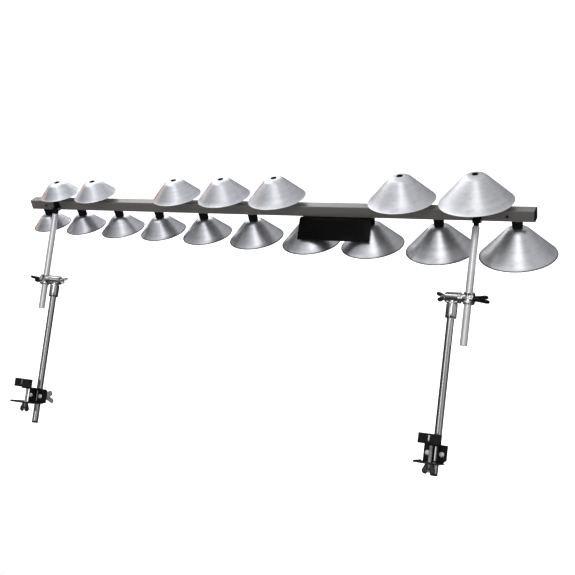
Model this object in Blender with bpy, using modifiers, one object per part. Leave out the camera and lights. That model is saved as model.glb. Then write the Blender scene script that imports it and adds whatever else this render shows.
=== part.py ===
"""Metallophone of turned aluminium bells on a square beam, carried by two clamp-on arms.

The beam runs along X with the large bells at +X. The audience side is -Y and the player's side is +Y.
The origin is the rail seat of the left clamp, the face that lies on the rail it is fastened to.
The rods of both arms stand along Z and the beam is rolled back, so the bells lean away from the player.
"""
import math

import bmesh
import bpy
from mathutils import Matrix, Vector

MM = 0.001

# Gap that touching pieces keep, and the running gap of pins and sliding rods
SEAT_GAP = 0.3 * MM
RUNNING_GAP = 0.4 * MM

# Bells: each one is a fixed share smaller than the note below it
LARGEST_BELL = 198 * MM
BELL_STEP = 0.97
BELL_SPACE = 9.5 * MM
LOWER_ROW = (0, 2, 4, 5, 7, 9, 11, 12, 14, 16)
UPPER_ROW = (1, 3, 6, 8, 10, 13, 15)
CROWN_EDGE = 24.2 * MM
CROWN_ROUNDING = 11 * MM
FLANK_ANGLE = math.radians(45.8)
BELL_WALL = 4.5 * MM
CROWN_WALL = 5 * MM
BELL_HOLE = 12.6 * MM
BELL_SIDES = 24

# Beam: a square tube with a plug in each end
BEAM_WIDTH = 30 * MM
BEAM_WALL = 2 * MM
BEAM_CORNER = 1.5 * MM
BEAM_END_RIGHT = 44 * MM
BEAM_END_LEFT = 47 * MM
CAP_THICKNESS = 3 * MM
CAP_PLUG = 14 * MM
BEAM_TILT = math.radians(38)

# What holds the bells: posts above the beam, rubber hangers below it
UPPER_RIM_RISE = 17.4 * MM
POST_STEM = 12 * MM
POST_SEAT = 24 * MM
POST_SEAT_HEIGHT = 7 * MM
POST_SIDES = 8
HANGER_LENGTH = 22 * MM
HANGER_TOP = 28.5 * MM
HANGER_FOOT = 26 * MM
HANGER_NUT = 21 * MM
HANGER_NUT_HEIGHT = 7 * MM
HANGER_SIDES = 10
BELL_STUD = 11 * MM

# Sign plate: bare folded sheet under the beam, upright when the arms are
SIGN_WIDTH = 210 * MM
SIGN_HEIGHT = 61 * MM
SIGN_STEP = 12 * MM
SIGN_SHEET = 2 * MM
SIGN_TAB_WIDTH = 140 * MM
SIGN_TAB_DEPTH = 24 * MM

# Pivot in front of the beam, where each arm's upper rod swings
PIVOT_FORWARD = 11 * MM
PIVOT_HEIGHT = 6 * MM
LEFT_PIVOT_INSET = 103 * MM
RIGHT_PIVOT_INSET = 140 * MM
TONGUE_WIDTH = 11.4 * MM
TONGUE_ROUND = 12 * MM
CHEEK = 4 * MM
BRACKET_PLATE = 4 * MM
BRACKET_HEIGHT = 26 * MM
PIVOT_PIN = 6 * MM
PIVOT_HEAD = 11 * MM
PIVOT_HEAD_HEIGHT = 3 * MM

# Rods
ROD = 19 * MM
ROD_WALL = 1.5 * MM
ROD_SIDES = 20
ROD_SHOULDER = 15 * MM
ROD_SHOULDER_HEIGHT = 3.5 * MM
UPPER_ROD_REACH = 320 * MM
LOWER_ROD_REACH = 451 * MM
TONGUE_PLUG = 45 * MM

# Tilter: an eye that slides on the upper rod, and a barrel hinged beside it that holds the lower rod
LEFT_TILTER_DROP = 228 * MM
RIGHT_TILTER_DROP = 200 * MM
ROD_OFFSET = 39.5 * MM
EYE_OUTER = 12 * MM
EYE_ROUND = 31 * MM
EYE_FLANGE = 3 * MM
EYE_FLANGE_ROUND = 33 * MM
EYE_INNER = 24 * MM
BARREL_ROUND = 29 * MM
BARREL_END = 61 * MM
BARREL_FLUTES = 10
BARREL_FLUTE_DEPTH = 1.2 * MM
BARREL_NOSE = 5 * MM
SOCKET_TOP_ROUND = 27 * MM
SOCKET_ROUND = 29 * MM
SOCKET_DROP = 53 * MM
SOCKET_FLOOR = 18 * MM
TILTER_SIDES = 16

# Wing screws: shank, hub and two wings
SHANK = 8 * MM
WING_SHEET = 3.6 * MM
EYE_WING_HUB = 16 * MM
EYE_WING_REACH = 37 * MM
EYE_WING_SPAN = 38 * MM
EYE_WING_TURN = math.radians(68)
TILT_WING_HUB = 9 * MM
TILT_WING_REACH = 20 * MM
TILT_WING_SPAN = 34 * MM
TILT_WING_TURN = math.radians(45)
CLAMP_WING_HUB = 12 * MM
CLAMP_WING_REACH = 32 * MM
CLAMP_WING_SPAN = 42 * MM
CLAMP_WING_TURN = math.radians(70)
NUT_WING_HUB = 16 * MM
NUT_WING_REACH = 27 * MM
NUT_WING_SPAN = 36 * MM

# Rail clamp: a split block round the lower rod, with a jaw in front of it
CLAMP_DROP = 595 * MM
BLOCK_WIDTH = 58 * MM
BLOCK_HEIGHT = 46 * MM
BLOCK_FRONT = 14 * MM
BLOCK_BACK = 14 * MM
BLOCK_SPLIT = 0.8 * MM
BLOCK_EDGE = 1.5 * MM
BACK_MARGIN = 7 * MM
BACK_STEP = 2 * MM
LOCK_STANDOFF = 22 * MM
WINDOW_WIDTH = 12 * MM
WINDOW_HEIGHT = 38 * MM
BOLT_HEAD = 13 * MM
BOLT_HEAD_HEIGHT = 4 * MM
BOLT_SPACING = 36 * MM
NOTCH = 7 * MM
PAD_WIDTH = 56 * MM
PAD_FRONT = 88 * MM
PAD_DEPTH = 20 * MM
PAD_HEIGHT = 25 * MM
PAD_EDGE = 4 * MM
JAW_SEAT = 24 * MM
SEAT_POINT = 78 * MM
ARM_WIDTH = 28 * MM
ARM_SHEET = 6 * MM
ARM_WEB = 4 * MM
ARM_TIP = 8 * MM
JAW_SCREW_FORWARD = 56.5 * MM
JAW_OPENING = 45 * MM
JAW_PLATE_RIGHT = 29 * MM
JAW_PLATE_LEFT = 33 * MM
JAW_PLATE_SHEET = 3 * MM
JAW_PLATE_LIP = 5.5 * MM
JAW_SCREW_TAIL = 22 * MM

# Worked out from the sizes above
ROD_BORE = ROD + 2 * SEAT_GAP
SHANK_HOLE = SHANK + 2 * RUNNING_GAP
WALL_ACROSS = BELL_WALL / math.sin(FLANK_ANGLE)
ARM_SIDES = {"left": 1, "right": -1}

parts = bpy.data.collections.new("metallophone")


def clear_scene():
    for item in list(bpy.data.objects):
        bpy.data.objects.remove(item)


def finish_material(name, colour, roughness, metallic):
    material = bpy.data.materials.new(name)
    material.use_nodes = True
    shader = material.node_tree.nodes["Principled BSDF"]
    shader.inputs["Base Color"].default_value = (*colour, 1)
    shader.inputs["Roughness"].default_value = roughness
    shader.inputs["Metallic"].default_value = metallic
    material.diffuse_color = (*colour, 1)
    return material


def link(name, mesh):
    piece = bpy.data.objects.new(name, mesh)
    parts.objects.link(piece)
    return piece


def apply_modifiers(piece):
    """Replaces the mesh with the shape its modifiers make, and welds the seams."""
    bpy.context.view_layer.update()
    shape = piece.evaluated_get(bpy.context.evaluated_depsgraph_get())
    mesh = bpy.data.meshes.new_from_object(shape)
    piece.modifiers.clear()
    old = piece.data
    piece.data = mesh
    if old.users == 0 and isinstance(old, bpy.types.Mesh):
        bpy.data.meshes.remove(old)
    return piece


def box(name, low, high, edge=0.0, edge_axis=None):
    """A block between two corners. Its edges, or only those along one axis, are rounded off by edge."""
    shape = bmesh.new()
    bmesh.ops.create_cube(shape, size=1)
    middle = (Vector(low) + Vector(high)) / 2
    size = Vector(high) - Vector(low)
    bmesh.ops.scale(shape, vec=size, verts=shape.verts)
    bmesh.ops.translate(shape, vec=middle, verts=shape.verts)
    if edge > 0:
        edges = shape.edges[:]
        if edge_axis is not None:
            edges = [e for e in edges if abs((e.verts[0].co - e.verts[1].co)[edge_axis]) > size[edge_axis] / 2]
        bmesh.ops.bevel(shape, geom=edges, offset=edge, segments=1, affect="EDGES")
    mesh = bpy.data.meshes.new(name)
    shape.to_mesh(mesh)
    shape.free()
    return link(name, mesh)


def turned(name, profile, sides, closed=False):
    """A shape turned about Z. The profile is (radius, height) points, down its outer side."""
    mesh = bpy.data.meshes.new(name)
    count = len(profile)
    edges = [(i, (i + 1) % count) for i in range(count if closed else count - 1)]
    mesh.from_pydata([(radius, 0, height) for radius, height in profile], edges, [])
    piece = link(name, mesh)
    screw = piece.modifiers.new("Turn", "SCREW")
    screw.axis = "Z"
    screw.steps = sides
    screw.render_steps = sides
    screw.use_merge_vertices = True
    screw.merge_threshold = 0.00001
    return apply_modifiers(piece)


def rod_cutter(name, diameter, start, end, sides=ROD_SIDES):
    """A plain cylinder on Z between two heights."""
    radius = diameter / 2
    return turned(name, [(0, end), (radius, end), (radius, start), (0, start)], sides)


def flat_outline(name, outline, thickness):
    """A flat piece with this outline in its XY plane, half its thickness each side of it."""
    curve = bpy.data.curves.new(name, "CURVE")
    curve.dimensions = "2D"
    curve.fill_mode = "BOTH"
    curve.extrude = thickness / 2
    spline = curve.splines.new("POLY")
    spline.points.add(len(outline) - 1)
    for point, (x, y) in zip(spline.points, outline):
        point.co = (x, y, 0, 1)
    spline.use_cyclic_u = True
    drawn = link(name, curve)
    bpy.context.view_layer.update()
    mesh = bpy.data.meshes.new_from_object(drawn.evaluated_get(bpy.context.evaluated_depsgraph_get()))
    bpy.data.objects.remove(drawn)
    bpy.data.curves.remove(curve)
    shape = bmesh.new()
    shape.from_mesh(mesh)
    bmesh.ops.remove_doubles(shape, verts=shape.verts, dist=0.00001)
    shape.to_mesh(mesh)
    shape.free()
    return link(name, mesh)


def turn_mesh(piece, angle, axis, move=(0, 0, 0)):
    """Turns and then moves a shape inside its object."""
    piece.data.transform(Matrix.Translation(Vector(move)) @ Matrix.Rotation(angle, 4, axis))
    return piece


def combine(piece, tool, operation):
    """Joins the tool to the piece, or cuts it out, and uses the tool up."""
    modifier = piece.modifiers.new("Combine", "BOOLEAN")
    modifier.operation = operation
    modifier.solver = "EXACT"
    modifier.object = tool
    apply_modifiers(piece)
    mesh = tool.data
    bpy.data.objects.remove(tool)
    bpy.data.meshes.remove(mesh)
    return piece


def join(piece, *tools):
    for tool in tools:
        combine(piece, tool, "UNION")
    return piece


def cut(piece, *tools):
    for tool in tools:
        combine(piece, tool, "DIFFERENCE")
    return piece


def place(piece, name, material, frame, location=(0, 0, 0), rotation=(0, 0, 0)):
    """Names a finished piece, gives it its material and sets it in its frame."""
    piece.name = name
    piece.data.name = name
    piece.data.materials.clear()
    piece.data.materials.append(material)
    piece.data.shade_smooth()
    piece.data.set_sharp_from_angle(angle=math.radians(32))
    piece.parent = frame
    piece.location = location
    piece.rotation_euler = rotation
    return piece


def frame_at(name, location, rotation=(0, 0, 0), parent=None):
    frame = bpy.data.objects.new(name, None)
    frame.empty_display_size = 0.05
    frame.location = location
    frame.rotation_euler = rotation
    frame.parent = parent
    parts.objects.link(frame)
    return frame


def bell_diameter(note):
    return LARGEST_BELL * BELL_STEP ** note


def bell_height(note):
    return (bell_diameter(note) / 2 - CROWN_EDGE) * math.tan(FLANK_ANGLE)


def bell_places(beam_length):
    """Where each note stands along the beam: lower row rim to rim, upper row between its neighbours."""
    places = {}
    x = beam_length - BEAM_END_RIGHT
    for i, note in enumerate(LOWER_ROW):
        if i:
            x -= (bell_diameter(LOWER_ROW[i - 1]) + bell_diameter(note)) / 2 + BELL_SPACE
        places[note] = x
    for note in UPPER_ROW:
        places[note] = (places[note - 1] + places[note + 1]) / 2
    return places


def beam_length():
    widths = sum((bell_diameter(a) + bell_diameter(b)) / 2 for a, b in zip(LOWER_ROW, LOWER_ROW[1:]))
    return BEAM_END_LEFT + widths + BELL_SPACE * (len(LOWER_ROW) - 1) + BEAM_END_RIGHT


def make_bell(note):
    """A turned cone with a rounded crown, its top at height 0."""
    rim = bell_diameter(note) / 2
    height = bell_height(note)
    bend = CROWN_ROUNDING / math.tan(FLANK_ANGLE / 2)
    start = CROWN_EDGE - CROWN_ROUNDING
    angles = (0, FLANK_ANGLE / 2, FLANK_ANGLE)
    crown = [(start + bend * math.sin(a), bend * math.cos(a) - bend) for a in angles]
    inner_shoulder = CROWN_EDGE - WALL_ACROSS + CROWN_WALL / math.tan(FLANK_ANGLE)
    hole = BELL_HOLE / 2
    profile = [(hole, 0), *crown, (rim, -height), (rim - WALL_ACROSS, -height)]
    profile += [(inner_shoulder, -CROWN_WALL), (hole, -CROWN_WALL)]
    return turned("bell", profile, BELL_SIDES, closed=True)


def make_hanger():
    """Rubber spacer with the stud through the crown and the nut inside the bell. The crown is at height 0."""
    foot = -CROWN_WALL - SEAT_GAP
    nut_foot = foot - HANGER_NUT_HEIGHT
    profile = [(0, HANGER_LENGTH - SEAT_GAP), (HANGER_TOP / 2, HANGER_LENGTH - SEAT_GAP)]
    profile += [(HANGER_FOOT / 2, SEAT_GAP), (BELL_STUD / 2, SEAT_GAP), (BELL_STUD / 2, foot)]
    profile += [(HANGER_NUT / 2, foot), (HANGER_NUT / 2, nut_foot), (0, nut_foot)]
    return turned("hanger", profile, HANGER_SIDES)


def make_post(note):
    """Post welded on the beam, up to its seat under the crown, which is at height 0."""
    foot = -bell_height(note) - UPPER_RIM_RISE - BEAM_WALL / 2
    seat = -CROWN_WALL - SEAT_GAP
    profile = [(0, -SEAT_GAP), (BELL_STUD / 2, -SEAT_GAP), (BELL_STUD / 2, seat), (POST_SEAT / 2, seat)]
    profile += [(POST_SEAT / 2, seat - POST_SEAT_HEIGHT), (POST_STEM / 2, seat - POST_SEAT_HEIGHT)]
    profile += [(POST_STEM / 2, foot), (0, foot)]
    return turned("post", profile, POST_SIDES)


def make_beam(length, places):
    """Square tube with the upper row's posts, from x = 0. Its front is y = 0 and its underside z = 0."""
    beam = box("beam", (0, 0, 0), (length, BEAM_WIDTH, BEAM_WIDTH), BEAM_CORNER, edge_axis=0)
    inside = BEAM_WIDTH - BEAM_WALL
    cut(beam, box("bore", (-MM, BEAM_WALL, BEAM_WALL), (length + MM, inside, inside)))
    for note in UPPER_ROW:
        crown = BEAM_WIDTH + UPPER_RIM_RISE + bell_height(note)
        join(beam, turn_mesh(make_post(note), 0, "Z", (places[note], BEAM_WIDTH / 2, crown)))
    return beam


def make_end_cap():
    """Plug for the tube's end: its head stands out along +X from x = 0."""
    cap = box("cap", (SEAT_GAP, 0, 0), (CAP_THICKNESS, BEAM_WIDTH, BEAM_WIDTH), BEAM_CORNER, edge_axis=0)
    low = BEAM_WALL + SEAT_GAP
    high = BEAM_WIDTH - BEAM_WALL - SEAT_GAP
    return join(cap, box("plug", (-CAP_PLUG, low, low), (CAP_THICKNESS / 2, high, high)))


def make_sign():
    """Folded sheet: a flange under the beam with a tab between two hangers, and an upright panel."""
    drop = Vector((0, -math.sin(BEAM_TILT), -math.cos(BEAM_TILT)))
    bend = Vector((0, -SIGN_STEP, -SEAT_GAP))
    section = [Vector((0, SIGN_TAB_DEPTH, -SEAT_GAP)), bend, bend + drop * SIGN_HEIGHT]
    mesh = bpy.data.meshes.new("sign")
    shape = bmesh.new()
    line = [shape.verts.new(point - Vector((SIGN_WIDTH / 2, 0, 0))) for point in section]
    edges = [shape.edges.new((a, b)) for a, b in zip(line, line[1:])]
    grown = bmesh.ops.extrude_edge_only(shape, edges=edges)["geom"]
    moved = [v for v in grown if isinstance(v, bmesh.types.BMVert)]
    bmesh.ops.translate(shape, vec=(SIGN_WIDTH, 0, 0), verts=moved)
    shape.normal_update()
    if sum(face.normal.z for face in shape.faces) < 0:
        bmesh.ops.reverse_faces(shape, faces=shape.faces)
    shape.to_mesh(mesh)
    shape.free()
    sign = link("sign", mesh)
    sheet = sign.modifiers.new("Sheet", "SOLIDIFY")
    sheet.thickness = SIGN_SHEET
    sheet.offset = -1
    sheet.use_even_offset = True
    apply_modifiers(sign)
    reach = SIGN_WIDTH
    for side in (-1, 1):
        near, far = sorted((side * SIGN_TAB_WIDTH / 2, side * reach))
        cut(sign, box("corner", (near, -MM, -reach), (far, BEAM_WIDTH, reach)))
    return sign


def make_pivot_bracket():
    """Two cheeks and the pin of an upper rod's pivot. The pin's axis is X through the origin."""
    back = PIVOT_FORWARD - SEAT_GAP
    width = TONGUE_WIDTH / 2 + SEAT_GAP + CHEEK
    round_end = TONGUE_ROUND / 2 + SEAT_GAP
    plate_low = -PIVOT_HEIGHT + (BEAM_WIDTH - BRACKET_HEIGHT) / 2
    front = back - BRACKET_PLATE
    bracket = box("bracket", (-width, front, plate_low), (width, back, plate_low + BRACKET_HEIGHT))
    ears = rod_cutter("ears", 2 * round_end, -width, width)
    turn_mesh(ears, math.pi / 2, "Y")
    arms = box("arms", (-width, 0, -round_end), (width, back - BRACKET_PLATE / 2, round_end))
    join(bracket, join(ears, arms))
    slot = TONGUE_WIDTH / 2 + SEAT_GAP
    cut(bracket, box("slot", (-slot, -2 * round_end, -BRACKET_HEIGHT), (slot, front, BRACKET_HEIGHT)))
    head = width + PIVOT_HEAD_HEIGHT
    pin = [(0, head), (PIVOT_HEAD / 2, head), (PIVOT_HEAD / 2, width - MM / 2), (PIVOT_PIN / 2, width - MM / 2)]
    pin += [(PIVOT_PIN / 2, -width + MM), (0, -width + MM)]
    return join(bracket, turn_mesh(turned("pin", pin, POST_SIDES), math.pi / 2, "Y"))


def make_upper_rod():
    """Tube with a tongue plugged into its top. The tongue turns on the pivot pin, at height 0."""
    outer = ROD / 2
    inner = outer - ROD_WALL
    half = TONGUE_ROUND / 2
    outline = [(half * math.cos(a), half * math.sin(a)) for a in [i * math.pi / 6 for i in range(7)]]
    outline += [(-half, -ROD_SHOULDER - MM), (half, -ROD_SHOULDER - MM)]
    tongue = flat_outline("tongue", outline, TONGUE_WIDTH)
    tongue.data.transform(Matrix.Rotation(math.pi / 2, 4, "Z") @ Matrix.Rotation(math.pi / 2, 4, "X"))
    shoulder = -ROD_SHOULDER - ROD_SHOULDER_HEIGHT
    profile = [(0, -ROD_SHOULDER), (outer - ROD_WALL, -ROD_SHOULDER), (outer, shoulder)]
    profile += [(outer, -UPPER_ROD_REACH), (inner, -UPPER_ROD_REACH), (inner, -TONGUE_PLUG), (0, -TONGUE_PLUG)]
    rod = turned("rod", profile, ROD_SIDES)
    pin_way = rod_cutter("pin_way", PIVOT_PIN + 2 * RUNNING_GAP, -ROD, ROD, POST_SIDES)
    return cut(join(rod, tongue), turn_mesh(pin_way, math.pi / 2, "Y"))


def make_lower_rod():
    """Tube from inside the tilter's socket to its foot. The tilt axis is at height 0."""
    outer = ROD / 2
    inner = outer - ROD_WALL
    top = -SOCKET_FLOOR - SEAT_GAP
    profile = [(inner, top), (outer, top), (outer, -LOWER_ROD_REACH), (inner, -LOWER_ROD_REACH)]
    return turned("rod", profile, ROD_SIDES, closed=True)


def along_x(piece, side):
    """Lays a shape that was turned about Z along X, its top towards the middle of the beam."""
    return turn_mesh(piece, side * math.pi / 2, "Y")


def make_tilter_head(side):
    """Eye round the upper rod, with a flange outside and the fixed half of the barrel inside."""
    eye = EYE_ROUND / 2
    edge = MM
    inner_step = ROD / 2 + 2 * SEAT_GAP + BELL_WALL
    profile = [(0, EYE_INNER), (BARREL_ROUND / 2, EYE_INNER), (BARREL_ROUND / 2, inner_step)]
    profile += [(eye, inner_step - edge), (eye, -EYE_OUTER + edge), (eye - edge, -EYE_OUTER)]
    profile += [(EYE_FLANGE_ROUND / 2, -EYE_OUTER)]
    profile += [(EYE_FLANGE_ROUND / 2, -EYE_OUTER - EYE_FLANGE), (0, -EYE_OUTER - EYE_FLANGE)]
    head = along_x(turned("head", profile, TILTER_SIDES), side)
    cut(head, rod_cutter("rod_way", ROD_BORE, -EYE_ROUND, EYE_ROUND))
    shank_seat = ROD / 2 + BELL_WALL
    hinge_hole = rod_cutter("hinge_hole", SHANK_HOLE, shank_seat, EYE_INNER + MM, POST_SIDES)
    lock_hole = rod_cutter("lock_hole", SHANK_HOLE, -EYE_OUTER - EYE_FLANGE - MM, -ROD / 4, POST_SIDES)
    return cut(head, along_x(hinge_hole, side), along_x(lock_hole, side))


def make_tilter_base(side):
    """Fluted barrel that turns on the tilt screw, with the socket of the lower rod below it."""
    steps = 2 * BARREL_FLUTES
    start = EYE_INNER + SEAT_GAP
    length = BARREL_END - BARREL_NOSE - start
    outline = []
    for i in range(steps):
        radius = BARREL_ROUND / 2 - (BARREL_FLUTE_DEPTH if i % 2 else 0)
        angle = 2 * math.pi * (i + 0.5) / steps
        outline.append((radius * math.cos(angle), radius * math.sin(angle)))
    barrel = turn_mesh(flat_outline("barrel", outline, length), 0, "Z", (0, 0, start + length / 2))
    root = BARREL_ROUND / 2 - BARREL_FLUTE_DEPTH
    nose = [(0, BARREL_END), (root - BARREL_NOSE + MM, BARREL_END), (root - MM, BARREL_END - BARREL_NOSE)]
    nose += [(root - MM, BARREL_END - 2 * BARREL_NOSE), (0, BARREL_END - 2 * BARREL_NOSE)]
    join(barrel, turned("nose", nose, TILTER_SIDES))
    along_x(barrel, side)
    socket = [(0, 0), (SOCKET_TOP_ROUND / 2, 0), (SOCKET_ROUND / 2, -SOCKET_DROP + MM)]
    socket += [(SOCKET_ROUND / 2 - MM, -SOCKET_DROP), (0, -SOCKET_DROP)]
    join(barrel, turn_mesh(turned("socket", socket, TILTER_SIDES), 0, "Z", (side * ROD_OFFSET, 0, 0)))
    rod_way = rod_cutter("rod_way", ROD_BORE, -SOCKET_DROP - MM, -SOCKET_FLOOR)
    cut(barrel, turn_mesh(rod_way, 0, "Z", (side * ROD_OFFSET, 0, 0)))
    hinge_hole = rod_cutter("hinge_hole", SHANK_HOLE, start - MM, BARREL_END + MM, POST_SIDES)
    return cut(barrel, along_x(hinge_hole, side))


def wing_outline(hub_end, reach, span):
    """Half outline of a pair of wings that spread from the hub, mirrored about the screw's axis."""
    root = SHANK / 2
    half = span / 2
    lobe = min(reach - hub_end / 2, half) * 0.42
    points = [(root / 2, hub_end * 0.15), (root * 1.6, hub_end * 0.3), (half - lobe, reach - 2 * lobe)]
    for i in range(5):
        angle = math.radians(-50 + 48 * i)
        points.append((half - lobe + lobe * math.cos(angle), reach - lobe + lobe * math.sin(angle)))
    points.append((root * 1.7, hub_end * 0.95))
    points.append((root / 2, hub_end * 0.95))
    return points + [(-x, y) for x, y in reversed(points)]


def make_wing_screw(hub, reach, span, shank, bore=0.0):
    """Wing screw on Z. Its hub stands on height 0 and its shank runs below; with a bore it is a nut."""
    top = SHANK * 0.72
    base = SHANK * 0.82
    if bore:
        profile = [(bore / 2, hub), (top, hub), (base, 0), (bore / 2, 0)]
        screw = turned("screw", profile, HANGER_SIDES, closed=True)
    else:
        profile = [(0, hub), (top, hub), (base, 0), (SHANK / 2, 0), (SHANK / 2, -shank), (0, -shank)]
        screw = turned("screw", profile, HANGER_SIDES)
    wings = flat_outline("wings", wing_outline(hub, reach, span), WING_SHEET)
    turn_mesh(wings, math.pi / 2, "X")
    if bore:
        cut(wings, rod_cutter("clear", bore + MM, -MM, hub + MM, HANGER_SIDES))
    return join(screw, wings)


def make_clamp_front():
    """Front half of the block, with the window on the rod, two bolt heads and the arm of the fixed jaw."""
    half_width = BLOCK_WIDTH / 2
    half_height = BLOCK_HEIGHT / 2
    block = box("block", (-half_width, -BLOCK_FRONT, -half_height), (half_width, -BLOCK_SPLIT / 2, half_height),
                BLOCK_EDGE)
    for x in (-BOLT_SPACING / 2, BOLT_SPACING / 2):
        head = rod_cutter("head", BOLT_HEAD, BLOCK_FRONT - MM, BLOCK_FRONT + BOLT_HEAD_HEIGHT, POST_SIDES)
        join(block, turn_mesh(head, math.pi / 2, "X", (x, 0, 0)))
    join(block, make_jaw_arm())
    window = box("window", (-WINDOW_WIDTH / 2, -BLOCK_FRONT - MM, -WINDOW_HEIGHT / 2),
                 (WINDOW_WIDTH / 2, 0, WINDOW_HEIGHT / 2))
    notch = box("notch", (half_width - NOTCH, -BLOCK_FRONT - MM, -half_height - MM),
                (half_width + MM, MM, NOTCH - half_height))
    rod_way = rod_cutter("rod_way", ROD_BORE, -BLOCK_WIDTH, BLOCK_WIDTH)
    screw_way = rod_cutter("screw_way", SHANK + 2 * SEAT_GAP, 0, BLOCK_WIDTH, POST_SIDES)
    turn_mesh(screw_way, 0, "Z", (0, -JAW_SCREW_FORWARD, 0))
    return cut(block, rod_way, window, notch, screw_way)


def make_jaw_arm():
    """Cast arm from the top of the block, stepped up behind the pad and into its pocket."""
    low = JAW_SEAT - ARM_SHEET
    tip_low = JAW_SEAT + SEAT_GAP + ARM_SHEET / 2
    web = PAD_FRONT - PAD_DEPTH - SEAT_GAP
    tip = PAD_FRONT - ARM_TIP
    root = BLOCK_FRONT - MM / 2
    tip_top = tip_low + ARM_SHEET
    outline = [(-root, low), (-root, JAW_SEAT), (ARM_WEB - web, JAW_SEAT), (ARM_WEB - web, tip_top)]
    outline += [(-tip, tip_top), (-tip, tip_low), (-web, tip_low), (-web, low)]
    arm = flat_outline("arm", outline, ARM_WIDTH)
    arm.data.transform(Matrix.Rotation(math.pi / 2, 4, "Z") @ Matrix.Rotation(math.pi / 2, 4, "X"))
    rise = box("rise", (-ARM_WIDTH / 2, -BLOCK_FRONT - MM, JAW_SEAT - ARM_SHEET),
               (ARM_WIDTH / 2, -ROD_BORE / 2 - MM, JAW_SEAT))
    return join(arm, rise)


def make_jaw_pad():
    """Rubber pad pushed on the arm. Its underside is the seat on the rail."""
    half = PAD_WIDTH / 2
    back = PAD_DEPTH - PAD_FRONT
    pad = box("pad", (-half, -PAD_FRONT, JAW_SEAT), (half, back, JAW_SEAT + PAD_HEIGHT), PAD_EDGE, edge_axis=2)
    pocket_low = JAW_SEAT + ARM_SHEET / 2
    pocket = box("pocket", (-ARM_WIDTH / 2 - SEAT_GAP, ARM_TIP - PAD_FRONT - SEAT_GAP, pocket_low),
                 (ARM_WIDTH / 2 + SEAT_GAP, back + MM, pocket_low + ARM_SHEET + 2 * SEAT_GAP))
    return cut(pad, pocket)


def make_clamp_back():
    """Back half of the block, with the threaded hole of the wing bolt that locks the rod."""
    half_width = BLOCK_WIDTH / 2 - BACK_MARGIN
    half_height = BLOCK_HEIGHT / 2 - BACK_STEP
    block = box("block", (-half_width, BLOCK_SPLIT / 2, -half_height), (half_width, BLOCK_BACK, half_height),
                BLOCK_EDGE)
    rod_way = rod_cutter("rod_way", ROD_BORE, -BLOCK_WIDTH, BLOCK_WIDTH)
    bolt_way = rod_cutter("bolt_way", SHANK_HOLE, 0, BLOCK_BACK + MM, POST_SIDES)
    return cut(block, rod_way, turn_mesh(bolt_way, -math.pi / 2, "X"))


def make_jaw_plate():
    """Moving jaw: a steel plate with a lip at its end, round the jaw screw. Its top face is at height 0."""
    back = -BLOCK_FRONT - BOLT_HEAD_HEIGHT - RUNNING_GAP
    left = -JAW_PLATE_LEFT
    plate = box("plate", (left, -PAD_FRONT, -JAW_PLATE_SHEET), (JAW_PLATE_RIGHT, back, 0))
    lip = box("lip", (left, -PAD_FRONT, -JAW_PLATE_SHEET / 2),
              (left + JAW_PLATE_SHEET, back, JAW_PLATE_LIP - JAW_PLATE_SHEET))
    join(plate, lip)
    screw_way = rod_cutter("screw_way", SHANK_HOLE, -BLOCK_HEIGHT, BLOCK_HEIGHT, POST_SIDES)
    return cut(plate, turn_mesh(screw_way, 0, "Z", (0, -JAW_SCREW_FORWARD, 0)))


def make_jaw_screw():
    """Bolt with its head on the arm, down past the wing nut. The arm's top is at height 0."""
    head = BOLT_HEAD_HEIGHT + SEAT_GAP
    foot = -JAW_OPENING - JAW_PLATE_SHEET - JAW_SCREW_TAIL
    profile = [(0, head), (BOLT_HEAD / 2, head), (BOLT_HEAD / 2, SEAT_GAP), (SHANK / 2, SEAT_GAP)]
    profile += [(SHANK / 2, foot + MM), (SHANK / 2 - MM, foot), (0, foot)]
    return turned("screw", profile, POST_SIDES)


def build_beam_group(frame, length, finishes):
    """The beam with everything that is bolted to it, in the beam's own frame."""
    places = bell_places(length)
    place(make_beam(length, places), "beam_tube", finishes["beam"], frame)
    place(make_end_cap(), "end_cap_right", finishes["plastic"], frame, (length, 0, 0))
    place(make_end_cap(), "end_cap_left", finishes["plastic"], frame, (0, BEAM_WIDTH, 0), (0, 0, math.pi))
    middle = BEAM_WIDTH / 2
    for note in LOWER_ROW:
        spot = (places[note], middle, -HANGER_LENGTH)
        place(make_bell(note), f"bell_{note + 1:02d}", finishes["bell"], frame, spot)
        place(make_hanger(), f"bell_hanger_{note + 1:02d}", finishes["rubber"], frame, spot)
    for note in UPPER_ROW:
        crown = BEAM_WIDTH + UPPER_RIM_RISE + bell_height(note)
        place(make_bell(note), f"bell_{note + 1:02d}", finishes["bell"], frame, (places[note], middle, crown))
    between = (places[4] + places[5]) / 2
    place(make_sign(), "sign_plate", finishes["sign"], frame, (between, 0, 0))


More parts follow.
